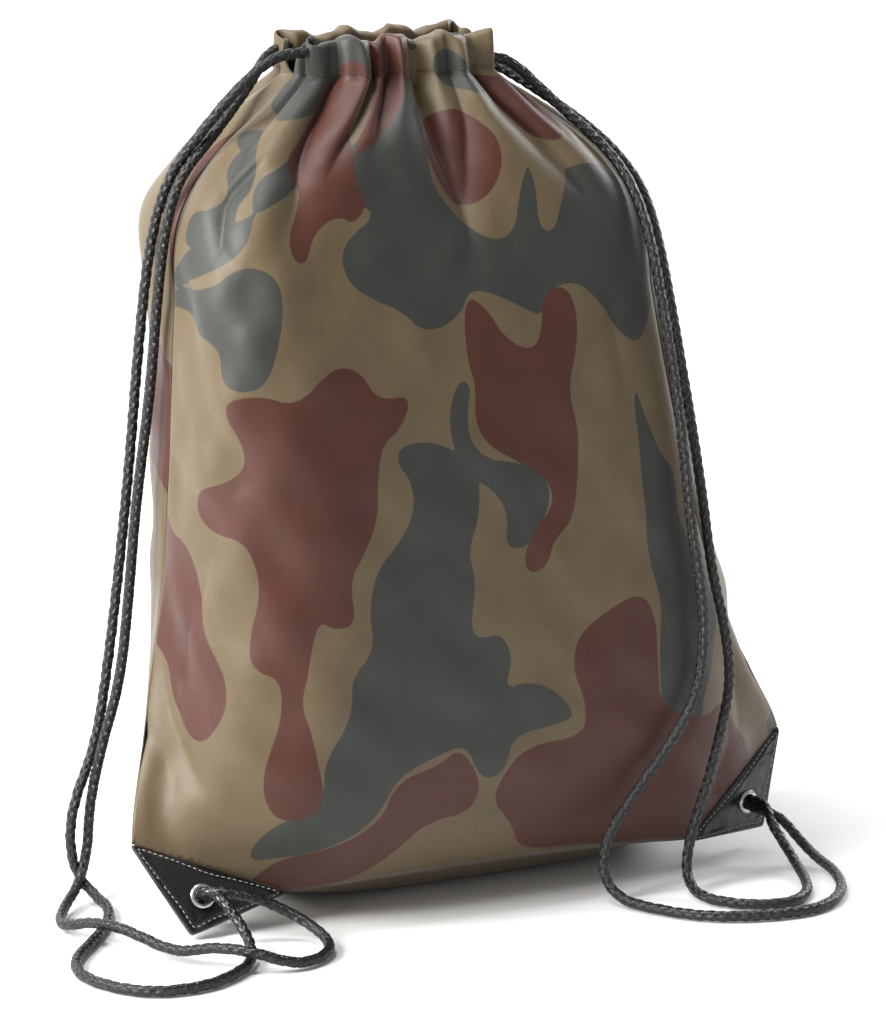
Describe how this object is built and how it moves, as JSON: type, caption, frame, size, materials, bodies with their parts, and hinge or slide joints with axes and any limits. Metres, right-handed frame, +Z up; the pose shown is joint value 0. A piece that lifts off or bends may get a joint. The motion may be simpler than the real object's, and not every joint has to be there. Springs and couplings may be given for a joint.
{
  "type": "drum stick bag",
  "caption": "Stuffed drawstring bag with a gathered mouth, leatherette corner patches with metal eyelets, and braided cords that run through the mouth channel and serve as shoulder straps.",
  "frame": {"origin": "centre of the flat underside that the bag rests on", "axes": "+X to the right as seen from the front, -Y towards the front, +Z up"},
  "size_m": [0.3898, 0.2361, 0.401],
  "materials": {
    "panel_cloth": "printed camouflage, fine weave with a satin sheen",
    "seam_cloth": "wrong side of the printed cloth, matte",
    "leatherette": "black, fine grain, semi-gloss",
    "eyelet_metal": "nickel plated",
    "braided_cord": "black braid with a slight sheen",
    "dark_thread": "twisted polyester thread",
    "patch_thread": "pale twisted polyester thread"
  },
  "bodies": {
    "bag": {"front_panel": "panel_cloth", "back_panel": "panel_cloth", "left_side_seam": "seam_cloth", "right_side_seam": "seam_cloth", "left_cord": "braided_cord", "right_cord": "braided_cord"},
    "front_lip": {"front_channel": "panel_cloth", "front_channel_stitching": "dark_thread"},
    "back_lip": {"back_channel": "panel_cloth", "back_channel_stitching": "dark_thread"},
    "left_corner": {"left_corner_patch": "leatherette", "left_corner_cloth": "seam_cloth", "left_patch_stitching": "patch_thread", "left_eyelet": "eyelet_metal", "left_eyelet_washer": "eyelet_metal", "left_cord_knot": "braided_cord"},
    "right_corner": {"right_corner_patch": "leatherette", "right_corner_cloth": "seam_cloth", "right_patch_stitching": "patch_thread", "right_eyelet": "eyelet_metal", "right_eyelet_washer": "eyelet_metal", "right_cord_knot": "braided_cord"}
  },
  "joints": [
    {"name": "front_lip_open", "type": "hinge", "parent": "bag", "child": "front_lip", "pos_m": [-0.0211, 0.0004, 0.384], "axis": [1, 0, 0], "range_deg": [0, 35], "deforming": ["left_cord", "right_cord"]},
    {"name": "back_lip_open", "type": "hinge", "parent": "bag", "child": "back_lip", "pos_m": [-0.0211, 0.0436, 0.384], "axis": [-1, 0, 0], "range_deg": [0, 35]},
    {"name": "left_corner_flap", "type": "hinge", "parent": "bag", "child": "left_corner", "pos_m": [-0.113, -0.062, 0.0155], "axis": [-0.8957, 0.2777, 0.3472], "range_deg": [0, 35]},
    {"name": "right_corner_flap", "type": "hinge", "parent": "bag", "child": "right_corner", "pos_m": [0.101, -0.061, 0.011], "axis": [-0.7634, -0.2063, -0.6121], "range_deg": [0, 35]}
  ],
  "couplings": [
    {"joint": "back_lip_open", "follows": "front_lip_open", "ratio": 1}
  ]
}
